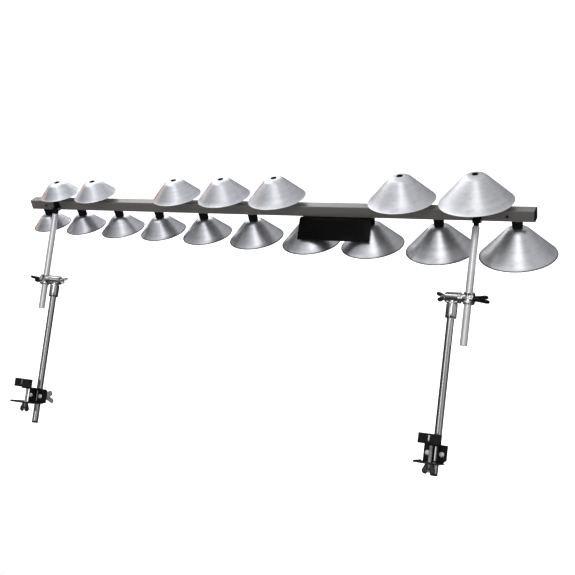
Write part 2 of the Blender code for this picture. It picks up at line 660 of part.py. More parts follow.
def build_arm(name, beam_frame, pivot_x, drop, finishes):
    """One arm, from the pivot on the beam down to the rail clamp."""
    side = ARM_SIDES[name]
    pivot = (pivot_x, -PIVOT_FORWARD, PIVOT_HEIGHT)
    place(make_pivot_bracket(), f"{name}_pivot_bracket", finishes["bracket"], beam_frame, pivot)
    swing = frame_at(f"{name}_swing", pivot, (-BEAM_TILT, 0, 0), beam_frame)
    place(make_upper_rod(), f"{name}_upper_rod", finishes["aluminium"], swing)

    tilt = frame_at(f"{name}_tilt", (0, 0, -drop), parent=swing)
    place(make_tilter_head(side), f"{name}_tilter_head", finishes["chrome"], tilt)
    place(make_tilter_base(side), f"{name}_tilter_base", finishes["chrome"], tilt)
    flange = EYE_OUTER + EYE_FLANGE + SEAT_GAP
    eye_wing = make_wing_screw(EYE_WING_HUB, EYE_WING_REACH, EYE_WING_SPAN, flange - ROD / 2 - SEAT_GAP)
    turn_mesh(eye_wing, -side * EYE_WING_TURN, "Z")
    place(eye_wing, f"{name}_eye_wing_screw", finishes["dark_steel"], tilt, (-side * flange, 0, 0),
          (0, -side * math.pi / 2, 0))
    hinge_shank = BARREL_END - ROD / 2 - BELL_WALL
    tilt_wing = make_wing_screw(TILT_WING_HUB, TILT_WING_REACH, TILT_WING_SPAN, hinge_shank)
    turn_mesh(tilt_wing, -TILT_WING_TURN, "Z")
    tilt_seat = side * (BARREL_END + SEAT_GAP)
    place(tilt_wing, f"{name}_tilt_wing_screw", finishes["chrome"], tilt, (tilt_seat, 0, 0),
          (0, side * math.pi / 2, 0))
    lower_x = side * ROD_OFFSET
    place(make_lower_rod(), f"{name}_lower_rod", finishes["chrome"], tilt, (lower_x, 0, 0))

    clamp = frame_at(f"{name}_clamp", (lower_x, 0, drop - CLAMP_DROP), parent=tilt)
    place(make_clamp_front(), f"{name}_clamp_jaw", finishes["bracket"], clamp)
    place(make_jaw_pad(), f"{name}_jaw_pad", finishes["rubber"], clamp)
    place(make_clamp_back(), f"{name}_clamp_back", finishes["bracket"], clamp)
    bolt_seat = BLOCK_BACK + LOCK_STANDOFF
    lock = make_wing_screw(CLAMP_WING_HUB, CLAMP_WING_REACH, CLAMP_WING_SPAN, bolt_seat - ROD / 2 - SEAT_GAP)
    place(lock, f"{name}_rod_wing_bolt", finishes["chrome"], clamp, (0, bolt_seat, 0),
          (-math.pi / 2, CLAMP_WING_TURN, 0))
    screw_spot = (0, -JAW_SCREW_FORWARD, JAW_SEAT)
    place(make_jaw_screw(), f"{name}_jaw_screw", finishes["chrome"], clamp, screw_spot)
    plate_top = JAW_SEAT - JAW_OPENING
    place(make_jaw_plate(), f"{name}_jaw_plate", finishes["dark_steel"], clamp, (0, 0, plate_top))
    nut = make_wing_screw(NUT_WING_HUB, NUT_WING_REACH, NUT_WING_SPAN, 0, bore=SHANK_HOLE)
    nut_spot = (0, -JAW_SCREW_FORWARD, plate_top - JAW_PLATE_SHEET - SEAT_GAP)
    place(nut, f"{name}_jaw_wing_nut", finishes["dark_steel"], clamp, nut_spot, (math.pi, 0, 0))


def build():
    clear_scene()
    bpy.context.scene.collection.children.link(parts)
    finishes = {
        "bell": finish_material("spun_aluminium", (0.62, 0.62, 0.64), 0.32, 1.0),
        "beam": finish_material("anodised_beam", (0.10, 0.095, 0.09), 0.45, 0.6),
        "plastic": finish_material("black_plastic", (0.015, 0.015, 0.015), 0.5, 0.0),
        "rubber": finish_material("black_rubber", (0.012, 0.012, 0.013), 0.75, 0.0),
        "sign": finish_material("sign_black", (0.012, 0.012, 0.012), 0.4, 0.0),
        "bracket": finish_material("black_casting", (0.014, 0.014, 0.015), 0.45, 0.1),
        "aluminium": finish_material("bright_aluminium", (0.82, 0.83, 0.84), 0.28, 1.0),
        "chrome": finish_material("chrome", (0.72, 0.72, 0.73), 0.1, 1.0),
        "dark_steel": finish_material("dark_steel", (0.09, 0.09, 0.09), 0.35, 0.8),
    }
    length = beam_length()
    left_pivot_x = LEFT_PIVOT_INSET
    right_pivot_x = length - RIGHT_PIVOT_INSET
    left_pivot = Vector((-ROD_OFFSET, SEAT_POINT, CLAMP_DROP - JAW_SEAT))
    tilt = Matrix.Rotation(BEAM_TILT, 3, "X")
    corner = left_pivot - tilt @ Vector((left_pivot_x, -PIVOT_FORWARD, PIVOT_HEIGHT))
    beam_frame = frame_at("beam_frame", corner, (BEAM_TILT, 0, 0))
    build_beam_group(beam_frame, length, finishes)
    build_arm("left", beam_frame, left_pivot_x, LEFT_TILTER_DROP, finishes)
    build_arm("right", beam_frame, right_pivot_x, RIGHT_TILTER_DROP, finishes)


build()
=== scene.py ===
import math

import bmesh
import bpy
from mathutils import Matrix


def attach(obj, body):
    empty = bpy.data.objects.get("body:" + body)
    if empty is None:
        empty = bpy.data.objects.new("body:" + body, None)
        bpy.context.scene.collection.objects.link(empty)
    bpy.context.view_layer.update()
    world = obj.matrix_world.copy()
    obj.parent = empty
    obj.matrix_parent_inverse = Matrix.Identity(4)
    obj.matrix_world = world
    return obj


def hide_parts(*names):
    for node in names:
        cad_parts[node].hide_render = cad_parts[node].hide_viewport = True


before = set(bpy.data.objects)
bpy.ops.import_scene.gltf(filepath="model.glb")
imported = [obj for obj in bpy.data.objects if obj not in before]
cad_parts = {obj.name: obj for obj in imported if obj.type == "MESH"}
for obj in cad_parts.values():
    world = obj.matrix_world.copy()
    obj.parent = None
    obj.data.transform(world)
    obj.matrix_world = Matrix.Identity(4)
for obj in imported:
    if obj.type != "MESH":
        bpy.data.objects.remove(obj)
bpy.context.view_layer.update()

bpy.ops.object.select_all(action="DESELECT")


# Camera
# It stands in front of the instrument, beyond the large bells and a little above the clamps,
# and it is held about seven degrees off level, as the photographer held it.
bpy.ops.object.camera_add(location=(1.79449, -2.07547, 0.07438), rotation=(1.654548, -0.123870, 0.433394))
camera = bpy.context.active_object
camera.data.sensor_width = 36
camera.data.lens = 54.063
camera.data.shift_x = 0.02589
camera.data.shift_y = 0.05788
bpy.context.scene.camera = camera
bpy.context.scene.view_settings.view_transform = "Standard"


# Studio
# A sweep of white paper lies well below and behind the instrument. The turned metal shows the soft
# boxes and the pale upper part of the dim room as bright fans, and a warm card on the left as a tint.
def pick(piece, kind, test):
    """In edit mode, selects just the vertices, edges or faces that pass the test."""
    bpy.ops.mesh.select_mode(type=kind)
    bpy.ops.mesh.select_all(action="DESELECT")
    edit = bmesh.from_edit_mesh(piece.data)
    for part in {"VERT": edit.verts, "EDGE": edit.edges, "FACE": edit.faces}[kind]:
        part.select_set(test(part))


bpy.ops.mesh.primitive_plane_add(size=16, location=(0.6, -1.5, -0.95), scale=(3, 1, 1))
paper = bpy.context.active_object
paper.name = "paper_sweep"
bpy.ops.object.mode_set(mode="EDIT")
pick(paper, "EDGE", lambda edge: all(vertex.co.y > 7 for vertex in edge.verts))
bpy.ops.mesh.extrude_region_move(TRANSFORM_OT_translate={"value": (0, 0, 9)})
pick(paper, "EDGE", lambda edge: all(vertex.co.y > 7 and vertex.co.z < 1 for vertex in edge.verts))
bpy.ops.mesh.bevel(offset=2.5, segments=16)
bpy.ops.object.mode_set(mode="OBJECT")
bpy.ops.object.shade_smooth()
bpy.ops.object.transform_apply(location=True, rotation=True, scale=True)


class Wire:
    """A socket of a material or of the room, so that its maths reads as sums."""

    def __init__(self, tree, socket):
        self.tree = tree
        self.socket = socket

    def node(self, kind, settings, sockets, out=0):
        """Adds any node: its settings first, then the values or wires of its sockets."""
        node = self.tree.nodes.new(kind)
        for name, value in settings.items():
            setattr(node, name, value)
        for name, value in sockets.items():
            if isinstance(value, Wire):
                self.tree.links.new(value.socket, node.inputs[name])
            else:
                node.inputs[name].default_value = value
        return Wire(self.tree, node.outputs[out])

    def sum(self, operation, *values):
        return self.node("ShaderNodeMath", {"operation": operation}, dict(enumerate(values)))

    def __add__(self, other):
        return self.sum("ADD", self, other)

    def __sub__(self, other):
        return self.sum("SUBTRACT", self, other)

    def __rsub__(self, other):
        return self.sum("SUBTRACT", other, self)

    def __mul__(self, other):
        return self.sum("MULTIPLY", self, other)

    def __pow__(self, other):
        return self.sum("POWER", self, other)

    __radd__ = __add__
    __rmul__ = __mul__

    def between(self, low, high):
        """0 below low and 1 above high, straight between them."""
        return self.node("ShaderNodeMapRange", {"clamp": True},
                         {"Value": self, "From Min": low, "From Max": high})

    def eased(self, low, high):
        """The same with a soft start and a soft end."""
        return self.node("ShaderNodeMapRange", {"interpolation_type": "SMOOTHSTEP"},
                         {"Value": self, "From Min": low, "From Max": high})

    def noise(self, scale, detail=3.0, roughness=0.55, stretch=(1, 1, 1)):
        """Cloudy noise about 0.5 at these coordinates, stretched along an axis by a small number."""
        place = self.node("ShaderNodeMapping", {}, {"Vector": self, "Scale": stretch})
        return self.node("ShaderNodeTexNoise", {}, {"Vector": place, "Scale": scale, "Detail": detail,
                                                    "Roughness": roughness})

    def streaks(self, detail, roughness=0.5):
        """Noise about 0.5 along this one number."""
        return self.node("ShaderNodeTexNoise", {"noise_dimensions": "1D"},
                         {"W": self, "Scale": 1.0, "Detail": detail, "Roughness": roughness})

    def blend(self, below, above):
        """One colour where this is 0, and another where it is 1."""
        return self.node("ShaderNodeMix", {"data_type": "RGBA"},
                         {"Factor": self, "A": below, "B": above}, out=2)

    def tint(self, dark, light):
        """The same between two colours of plain numbers."""
        return self.blend((*dark, 1), (*light, 1))

    def bump(self, strength, distance):
        return self.node("ShaderNodeBump", {}, {"Height": self, "Strength": strength, "Distance": distance})


def new_finish(name, metallic, roughness, spot=(0, 0, 0), turn=(0, 0, 0), gloss=0.5):
    """A material with its shader, and its object coordinates seen from a spot and a turn."""
    material = bpy.data.materials.new(name)
    material.use_nodes = True
    tree = material.node_tree
    shader = tree.nodes["Principled BSDF"]
    shader.inputs["Metallic"].default_value = metallic
    shader.inputs["Roughness"].default_value = roughness
    shader.inputs["Specular IOR Level"].default_value = gloss
    coordinates = tree.nodes.new("ShaderNodeTexCoord")
    place = Wire(tree, coordinates.outputs["Object"])
    place = place.node("ShaderNodeMapping", {"vector_type": "TEXTURE"},
                       {"Vector": place, "Location": spot, "Rotation": turn})
    return material, shader, place


def feed(wire, shader, name):
    wire.tree.links.new(wire.socket, shader.inputs[name])


def axes(place):
    """The three coordinates of a place as wires of their own."""
    split = place.tree.nodes.new("ShaderNodeSeparateXYZ")
    place.tree.links.new(place.socket, split.inputs[0])
    return [Wire(place.tree, output) for output in split.outputs]


white_paper, paper_shader, place = new_finish("white_paper", 0.0, 0.9, gloss=0.1)
paper_shader.inputs["Base Color"].default_value = (0.80, 0.80, 0.80, 1)
paper_shader.inputs["Emission Strength"].default_value = 1.0
feed(axes(place)[1].between(0.9, 2.4), paper_shader, "Emission Color")
paper.data.materials.append(white_paper)
paper.visible_glossy = False

studio_air = bpy.data.worlds.new("studio_air")
studio_air.use_nodes = True
air_tree = studio_air.node_tree
air_way = Wire(air_tree, air_tree.nodes.new("ShaderNodeTexCoord").outputs["Generated"])
air_x, air_y, air_z = axes(air_way)
air_front = air_way.node("ShaderNodeVectorMath", {"operation": "DOT_PRODUCT"},
                         {0: air_way, 1: (0.43, -0.90, 0)}, out="Value")
room = (air_front.eased(-0.1, 0.85) * air_z.eased(-0.3, 0.0)).tint((0.045, 0.043, 0.042), (0.30, 0.30, 0.305))
pale_part = air_z.eased(0.1, 0.7) * air_y.eased(1.35, -0.1) * air_x.eased(1.5, 0.1)
feed(pale_part.blend(room, (0.66, 0.67, 0.69, 1)), air_tree.nodes["Background"], "Color")
bpy.context.scene.world = studio_air


def soft_box(name, spot, aim, width, height, power):
    bpy.ops.object.light_add(type="AREA", location=spot)
    lamp = bpy.context.active_object
    lamp.name = name
    lamp.data.shape = "RECTANGLE"
    lamp.data.size = width
    lamp.data.size_y = height
    lamp.data.energy = power
    reach = [a - b for a, b in zip(aim, spot)]
    flat = math.hypot(reach[0], reach[1])
    lamp.rotation_euler = (math.pi / 2 + math.atan2(reach[2], flat), 0, math.atan2(-reach[0], reach[1]))
    return lamp


soft_box("front_box", (2.3, -6.5, 2.9), (0.65, 0.1, 0.5), 2.8, 3.8, 60)
left_box = soft_box("left_box", (-1.4, -1.72, 3.52), (0.65, 0.0, 0.55), 4.6, 1.3, 25)
left_box.data.color = (0.94, 0.965, 1.0)
soft_box("top_box", (-0.9, 0.9, 3.0), (0.65, 0.1, 0.6), 2.4, 1.6, 18)
soft_box("low_box", (0.4, -3.0, 0.15), (0.65, 0.1, 0.2), 0.5, 1.8, 6)
soft_box("right_box", (4.2, -1.4, 1.6), (0.8, 0.1, 0.5), 1.8, 2.4, 2.6)
soft_box("right_strip", (3.6, -1.6, 0.1), (1.2, 0.1, 0.1), 0.6, 1.0, 0.9)
warm_card = soft_box("warm_card", (-4.6, 0.3, 2.4), (0.6, 0.1, 0.4), 1.6, 1.6, 8)
warm_card.data.color = (1.0, 0.66, 0.5)


# Square beam
# An extruded aluminium tube, 30 mm square and dark grey-brown from its anodising, with slightly
# rounded corners. It is rolled back by 38 degrees, and everything on it is made before that roll.
roll = math.radians(38)
beam_corner = (-0.1425, 0.090362, 0.573044)
beam_length = 1.586705
beam_width = 0.030


def anodised_beam():
    material, shader, place = new_finish("anodised_beam", 0.55, 0.42, beam_corner, (roll, 0, 0))
    back, up = axes(place)[1:]
    drawn = place.noise(900, 2, 0.6, (0.006, 1, 1))
    cloud = place.noise(14, 4, 0.6, (0.25, 1, 1))
    middle = beam_width / 2
    from_back = (back - middle).sum("ABSOLUTE", back - middle)
    from_up = (up - middle).sum("ABSOLUTE", up - middle)
    edge = (from_back + from_up).between(0.0283, 0.0292) * cloud.between(0.35, 0.6)
    shade = drawn * 0.45 + cloud * 0.55
    colour = shade.tint((0.225, 0.212, 0.20), (0.34, 0.325, 0.31))
    feed((edge * 0.55).blend(colour, (0.46, 0.45, 0.44, 1)), shader, "Base Color")
    feed(0.36 + drawn * 0.16 + cloud * 0.08, shader, "Roughness")
    feed(drawn.bump(0.18, 0.0002), shader, "Normal")
    shader.inputs["Coat Weight"].default_value = 0.6
    shader.inputs["Coat Roughness"].default_value = 0.35
    return material


def finish(piece, body, slot, material, *nodes):
    """Hands a finished piece its material, its CAD body and the CAD nodes it stands for; the slot argument is
    not used.
    """
    piece.data.materials.clear()
    piece.data.materials.append(material)
    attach(piece, body)
    if nodes:
        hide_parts(*nodes)


def only(piece):
    bpy.ops.object.select_all(action="DESELECT")
    piece.select_set(True)
    bpy.context.view_layer.objects.active = piece


def block(name, low, high):
    """A cuboid between two corners, ready to be shaped."""
    middle = [(a + b) / 2 for a, b in zip(low, high)]
    size = [b - a for a, b in zip(low, high)]
    bpy.ops.mesh.primitive_cube_add(size=1, location=middle, scale=size)
    bpy.ops.object.transform_apply(location=True, rotation=True, scale=True)
    piece = bpy.context.active_object
    piece.name = name
    return piece


def soften(piece, width, steps=3, angle=30):
    """Rounds the edges that are sharper than the angle."""
    only(piece)
    edges = piece.modifiers.new("soft_edges", "BEVEL")
    edges.width = width
    edges.segments = steps
    edges.limit_method = "ANGLE"
    edges.angle_limit = math.radians(angle)
    edges.harden_normals = False
    bpy.ops.object.modifier_apply(modifier=edges.name)
    return piece


def seat(piece, spot, turn=(0, 0, 0)):
    """Moves a piece to its place, with its object left at the origin, and shades it."""
    only(piece)
    piece.location = spot
    piece.rotation_euler = turn
    bpy.ops.object.transform_apply(location=True, rotation=True, scale=True)
    bpy.ops.object.shade_smooth_by_angle(angle=math.radians(35))
    return piece


def carve(piece, tool, operation="DIFFERENCE"):
    """Cuts the tool out of the piece, or welds it on, and uses the tool up."""
    only(piece)
    cut = piece.modifiers.new("cut", "BOOLEAN")
    cut.operation = operation
    cut.solver = "EXACT"
    cut.object = tool
    bpy.ops.object.modifier_apply(modifier=cut.name)
    bpy.data.objects.remove(tool)
    return piece


def lathe(name, profile, sides=64, ring=False):
    """Turns a profile of (radius, height) about Z, one loop after another."""
    bpy.ops.mesh.primitive_circle_add(vertices=sides, radius=profile[0][0], location=(0, 0, profile[0][1]))
    piece = bpy.context.active_object
    piece.name = name
    bpy.ops.object.transform_apply(location=True, rotation=True, scale=True)
    bpy.ops.object.mode_set(mode="EDIT")
    bpy.ops.mesh.select_mode(type="EDGE")
    bpy.ops.mesh.select_all(action="SELECT")
    for (radius, height), (next_radius, next_height) in zip(profile, profile[1:]):
        bpy.ops.mesh.extrude_region_move(TRANSFORM_OT_translate={"value": (0, 0, next_height - height)})
        grow = next_radius / radius
        bpy.ops.transform.resize(value=(grow, grow, 1), center_override=(0, 0, next_height))
    bpy.ops.mesh.select_all(action="DESELECT")
    bpy.ops.mesh.select_non_manifold()
    if ring:
        bpy.ops.mesh.bridge_edge_loops()
    else:
        bpy.ops.mesh.fill_holes(sides=0)
    bpy.ops.mesh.select_all(action="SELECT")
    bpy.ops.mesh.normals_make_consistent(inside=False)
    bpy.ops.object.mode_set(mode="OBJECT")
    return piece


tube = block("beam_extrusion", (0, 0, 0), (beam_length, beam_width, beam_width))
only(tube)
bpy.ops.object.mode_set(mode="EDIT")
pick(tube, "EDGE", lambda edge: abs(edge.verts[0].co.x - edge.verts[1].co.x) > 1)
bpy.ops.mesh.bevel(offset=0.0014, segments=4, profile=0.5)
for end in (0, beam_length):
    pick(tube, "FACE", lambda face: all(abs(vertex.co.x - end) < 0.0001 for vertex in face.verts))
    bpy.ops.mesh.inset(thickness=0.002)
    bpy.ops.mesh.extrude_region_move(TRANSFORM_OT_translate={"value": (0.02 if end == 0 else -0.02, 0, 0)})
bpy.ops.object.mode_set(mode="OBJECT")
seat(tube, beam_corner, (roll, 0, 0))
beam_finish = anodised_beam()
finish(tube, "beam", "anodised_beam", beam_finish, "beam_tube")


# Screws in the beam's front face
# Two small button screws of blackened steel with hexagon sockets, one near each end of the beam,
# screwed in outside the pivot brackets.
def black_oxide():
    material, shader, place = new_finish("black_oxide_steel", 0.7, 0.4)
    rub = place.noise(700, 3)
    feed(rub.between(0.45, 0.75).tint((0.018, 0.018, 0.019), (0.07, 0.068, 0.066)), shader, "Base Color")
    feed(0.3 + rub * 0.25, shader, "Roughness")
    feed(rub.bump(0.12, 0.0002), shader, "Normal")
    return material


screw_finish = black_oxide()


def button_screw(name, across, height):
    """A low round head with a hexagon socket, standing on height 0."""
    head = lathe(name, [(across * 0.5, 0), (across * 0.5, height * 0.25), (across * 0.44, height * 0.62),
                        (across * 0.32, height * 0.9), (across * 0.2, height)], 32)
    key = lathe("key", [(across * 0.24, height * 0.3), (across * 0.24, height * 1.5)], 6)
    return carve(head, key)


def on_beam(x, y, z):
    """A place on the rolled beam from its own coordinates, in the frame of the whole instrument."""
    return (beam_corner[0] + x,
            beam_corner[1] + y * math.cos(roll) - z * math.sin(roll),
            beam_corner[2] + y * math.sin(roll) + z * math.cos(roll))


for number, x in enumerate((0.057, beam_length - 0.066)):
    screw = button_screw(f"beam_face_screw_{number + 1}", 0.008, 0.0016)
    seat(screw, on_beam(x, 0.0004, beam_width * 0.45), (roll + math.pi / 2, 0, 0))
    finish(screw, "beam", "dark_steel", screw_finish)


# End plugs
# Black moulded plastic pushed into both ends of the tube, with a softly rounded flat head.
def moulded_plastic(name, colour, roughness):
    material, shader, place = new_finish(name, 0.0, roughness, gloss=0.16)
    grain = place.noise(2600, 2, 0.5)
    cloud = place.noise(60, 3)
    light = tuple(value * 1.9 for value in colour)
    feed((grain * 0.5 + cloud * 0.5).tint(colour, light), shader, "Base Color")
    feed(roughness - 0.08 + cloud * 0.16, shader, "Roughness")
    feed(grain.bump(0.2, 0.0001), shader, "Normal")
    return material


plug_finish = moulded_plastic("moulded_plug", (0.007, 0.007, 0.007), 0.42)
for side, end, turn in (("right", beam_length, 0), ("left", 0, math.pi)):
    plug = block(f"plug_{side}", (0.0003, -0.015, -0.015), (0.003, 0.015, 0.015))
    soften(plug, 0.0011)
    inside = block("inside", (-0.013, -0.0127, -0.0127), (0.002, 0.0127, 0.0127))
    carve(plug, soften(inside, 0.001), "UNION")
    seat(plug, (0, 0, 0), (0, 0, turn))
    seat(plug, on_beam(end, 0.015, 0.015), (roll, 0, 0))
    finish(plug, "beam", "black_plastic", plug_finish, f"end_cap_{side}")


# Bells
# Seventeen cones turned from aluminium, each three percent smaller than the one below it in pitch.
# The lathe leaves fine rings round the axis, and handling leaves cloudy marks on the satin metal.
lower_row = (0, 2, 4, 5, 7, 9, 11, 12, 14, 16)
upper_row = (1, 3, 6, 8, 10, 13, 15)
flank = math.radians(45.8)
crown_edge = 0.0242
bell_wall = 0.0045
crown_drop = 0.0003
hanger_length = 0.022
rim_rise = 0.0174


def bell_across(note):
    return 0.198 * 0.97 ** note


def bell_depth(note):
    return (bell_across(note) / 2 - crown_edge) * math.tan(flank)


bell_x = {}
reached = beam_length - 0.044
for number, note in enumerate(lower_row):
    if number:
        reached -= (bell_across(lower_row[number - 1]) + bell_across(note)) / 2 + 0.0095
    bell_x[note] = reached
for note in upper_row:
    bell_x[note] = (bell_x[note - 1] + bell_x[note + 1]) / 2


def bell_profile(note):
    """From the crown hole over the outside to the rim, and back up the inside."""
    rim = bell_across(note) / 2
    depth = bell_depth(note)
    across = bell_wall / math.sin(flank)
    bend = 0.011 / math.tan(flank / 2)
    outside = [(0.0063, -0.0007 - crown_drop), (0.0069, -crown_drop), (0.0105, -crown_drop)]
    for step in range(9):
        angle = flank * step / 8
        outside.append((0.0132 + bend * math.sin(angle), bend * math.cos(angle) - bend - crown_drop))
    start_radius, start_height = outside[-1]
    for share in (0.25, 0.5, 0.75):
        outside.append((start_radius + (rim - start_radius) * share,
                        start_height + (-depth - start_height) * share))
    slope = math.tan(flank)
    outside += [(rim - 0.0008, -depth + 0.0008 * slope), (rim - 0.0001, -depth + 0.0004),
                (rim - 0.0005, -depth)]
    inside = [(rim - across + 0.0006, -depth), (rim - across, -depth + 0.0003)]
    shoulder = crown_edge - across + 0.005 / math.tan(flank)
    for share in (0.33, 0.66):
        inside.append((rim - across + (shoulder - rim + across) * share, -depth + (depth - 0.005) * share))
    inside += [(shoulder + 0.0015, -0.005 - 0.0015 * slope), (shoulder - 0.001, -0.0052), (0.0063, -0.005)]
    return outside + inside


def turned_aluminium(note, crown):
    """Satin metal with rings round this bell's own axis. Its colour carries painted light: a lighter base on
    the upper row and a darker base on the lower row, and a rim band that is a painted highlight on the upper
    bells and painted shade on the lower bells.
    """
    # Painted light: the same metal gets a lighter base colour on the upper row and a darker one on the lower
    # row. This stands in for the light the upper bells catch and the shade the lower bells sit in.
    dark, light, dullness = (0.64, 0.955, 0.315) if note in upper_row else (0.56, 0.91, 0.255)
    cool = 0.015 + 0.0018 * note
    material, shader, place = new_finish(f"turned_aluminium_{note + 1:02d}", 0.96, 0.3, crown, (roll, 0, 0))
    x, y = axes(place)[:2]
    radius = (x * x + y * y) ** 0.5
    rings = (radius * 1500 + note * 7.3).streaks(2.0, 0.7)
    bands = (radius * 130 + note * 3.1).streaks(2.0)
    cloud = place.noise(16, 4, 0.6)
    marks = place.noise(55, 4, 0.65).between(0.56, 0.74)
    wipe = (y.sum("ARCTAN2", y, x) * 2.2 + note).streaks(3.0)
    patch = place.noise(34, 5, 0.7, (1, 1, 0.6))
    shade = rings * 0.3 + bands * 0.12 + cloud * 0.26 + wipe * 0.14 + patch * 0.18
    cast = (1 - cool * 0.5, 1 - cool * 0.35, 1 + cool)
    colour = shade.between(0.38, 0.62).tint([dark * share for share in cast],
                                            [light * share for share in cast])
    dulled = (marks * 0.35).blend(colour, (0.50, 0.495, 0.50, 1))
    # Painted light: a thin band at the rim is painted near white on the upper bells as a highlight. On the
    # lower bells it is painted near black as the shade on the rim's cut face.
    rim = bell_across(note) / 2
    edge = radius.between(rim - 0.0032, rim - 0.0016)
    tone = (0.9, 0.9, 0.9, 1) if note in upper_row else (0.11, 0.107, 0.10, 1)
    feed(edge.blend(dulled, tone), shader, "Base Color")
    feed(dullness - 0.04 + rings * 0.08 + cloud * 0.09 + patch * 0.08 + marks * 0.07, shader, "Roughness")
    feed((rings + bands * 0.3).bump(0.2, 0.00012), shader, "Normal")
    return material


for note in lower_row + upper_row:
    up = -hanger_length if note in lower_row else beam_width + rim_rise + bell_depth(note)
    crown = on_beam(bell_x[note], beam_width / 2, up)
    bell = lathe(f"bell_shell_{note + 1:02d}", bell_profile(note), 120, ring=True)
    seat(bell, crown, (roll, 0, 0))
    finish(bell, "beam", "spun_aluminium", turned_aluminium(note, crown), f"bell_{note + 1:02d}")


# Hangers of the lower bells
# A black rubber spacer with rounded rims under the beam, and the stud, washer and nut inside the bell
# that draw the crown up against it.
def rubber(name, lift=1.0):
    material, shader, place = new_finish(name, 0.0, 0.7, gloss=0.1)
    grain = place.noise(1900, 3, 0.6)
    bloom = place.noise(45, 4, 0.6)
    feed((grain * 0.35 + bloom * 0.65).between(0.3, 0.8).tint((0.0035 * lift,) * 3, (0.013 * lift,) * 3),
         shader, "Base Color")
    feed(0.58 + bloom * 0.22, shader, "Roughness")
    feed(grain.bump(0.3, 0.00015), shader, "Normal")
    return material


def plated_steel():
    material, shader, place = new_finish("plated_steel", 1.0, 0.3)
    cloud = place.noise(300, 3)
    feed(cloud.between(0.3, 0.7).tint((0.42, 0.41, 0.40), (0.62, 0.61, 0.59)), shader, "Base Color")
    feed(0.22 + cloud * 0.2, shader, "Roughness")
    return material


rubber_finish = rubber("spacer_rubber")
plated_finish = plated_steel()
top = hanger_length - 0.0004
spacer = lathe("spacer", [(0.0056, -0.0001), (0.0120, -0.0001), (0.0130, 0.0010), (0.0137, 0.011),
                          (0.0145, top - 0.0012), (0.0138, top), (0.0056, top)], 48)
nut = lathe("nut", [(0.0040, 0.001), (0.0040, -0.0054), (0.0103, -0.0054), (0.0103, -0.0066),
                    (0.0076, -0.0067), (0.0076, -0.0117), (0.0068, -0.0122), (0.0040, -0.0122)], 24)
for note in lower_row:
    crown = on_beam(bell_x[note], beam_width / 2, -hanger_length)
    for master, label, slot, material in ((spacer, "spacer", "black_rubber", rubber_finish),
                                          (nut, "crown_nut", "chrome", plated_finish)):
        only(master)
        bpy.ops.object.duplicate(linked=False)
        piece = bpy.context.active_object
        piece.name = f"{label}_{note + 1:02d}"
        seat(piece, crown, (roll, 0, 0))
        finish(piece, "beam", slot, material)
        if label == "spacer":
            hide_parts(f"bell_hanger_{note + 1:02d}")
bpy.data.objects.remove(spacer)
bpy.data.objects.remove(nut)


# Posts of the upper bells
# A post stands on the beam under each upper bell, with a flange at its foot. A rubber seat holds the
# crown, with its rim up through the crown's hole, and a black screw closes it from above.
for note in upper_row:
    crown = on_beam(bell_x[note], beam_width / 2, beam_width + rim_rise + bell_depth(note))
    foot = -bell_depth(note) - rim_rise
    post = lathe(f"post_{note + 1:02d}", [(0.0058, -0.0121), (0.0058, foot + 0.003), (0.0095, foot + 0.0028),
                                          (0.0105, foot + 0.002), (0.0105, foot + 0.0002)], 40)
    cushion = lathe(f"crown_seat_{note + 1:02d}", [(0.0050, 0.0004), (0.0056, 0.0008), (0.0080, 0.0007),
                                                   (0.0086, 0.0002), (0.0085, -0.00022), (0.0064, -0.00025),
                                                   (0.0060, -0.0009), (0.0060, -0.0054), (0.0112, -0.0054),
                                                   (0.0120, -0.0062), (0.0120, -0.0112), (0.0112, -0.012),
                                                   (0.0045, -0.012)], 40, ring=True)
    bolt = button_screw(f"crown_screw_{note + 1:02d}", 0.0088, 0.003)
    seat(bolt, (0, 0, -0.0042))
    for piece, slot, material in ((post, "anodised_beam", beam_finish),
                                  (cushion, "black_rubber", rubber_finish),
                                  (bolt, "dark_steel", plug_finish)):
        seat(piece, crown, (roll, 0, 0))
        finish(piece, "beam", slot, material)


# Sign plate
# Black painted sheet folded once: a flange under the beam, and a bare panel that hangs plumb from
# its front edge. The fold is rounded and the panel's corners are slightly eased.
def black_paint():
    material, shader, place = new_finish("black_gloss_paint", 0.0, 0.22, gloss=0.05)
    peel = place.noise(420, 2, 0.5)
    dust = place.noise(1500, 3, 0.7).between(0.62, 0.8)
    cloud = place.noise(9, 3)
    feed((cloud * 0.5 + dust * 0.5).tint((0.003, 0.003, 0.003), (0.010, 0.010, 0.010)), shader, "Base Color")
    feed(0.16 + cloud * 0.12 + dust * 0.2, shader, "Roughness")
    feed(peel.bump(0.06, 0.0003), shader, "Normal")
    return material


sign_x = (bell_x[4] + bell_x[5]) / 2
sign_width = 0.2096
sign_drop = 0.0598
flange_width = 0.0352
flange_middle = (0, 0.006, -0.0013)
bpy.ops.mesh.primitive_plane_add(size=1, location=flange_middle)
sign = bpy.context.active_object
sign.name = "sign_panel"
bpy.ops.object.transform_apply(location=True, rotation=True, scale=True)
bpy.ops.object.mode_set(mode="EDIT")
bpy.ops.transform.resize(value=(sign_width, flange_width, 1), center_override=flange_middle)
pick(sign, "EDGE", lambda edge: all(vertex.co.y < -0.01 for vertex in edge.verts))
plumb = (0, -sign_drop * math.sin(roll), -sign_drop * math.cos(roll))
bpy.ops.mesh.extrude_region_move(TRANSFORM_OT_translate={"value": plumb})
pick(sign, "VERT", lambda vertex: vertex.co.z < -0.01)
bpy.ops.mesh.bevel(offset=0.003, segments=5, affect="VERTICES")
pick(sign, "EDGE", lambda edge: all(-0.0125 < vertex.co.y < -0.011 and vertex.co.z > -0.01
                                    for vertex in edge.verts))
bpy.ops.mesh.bevel(offset=0.003, segments=5)
bpy.ops.object.mode_set(mode="OBJECT")
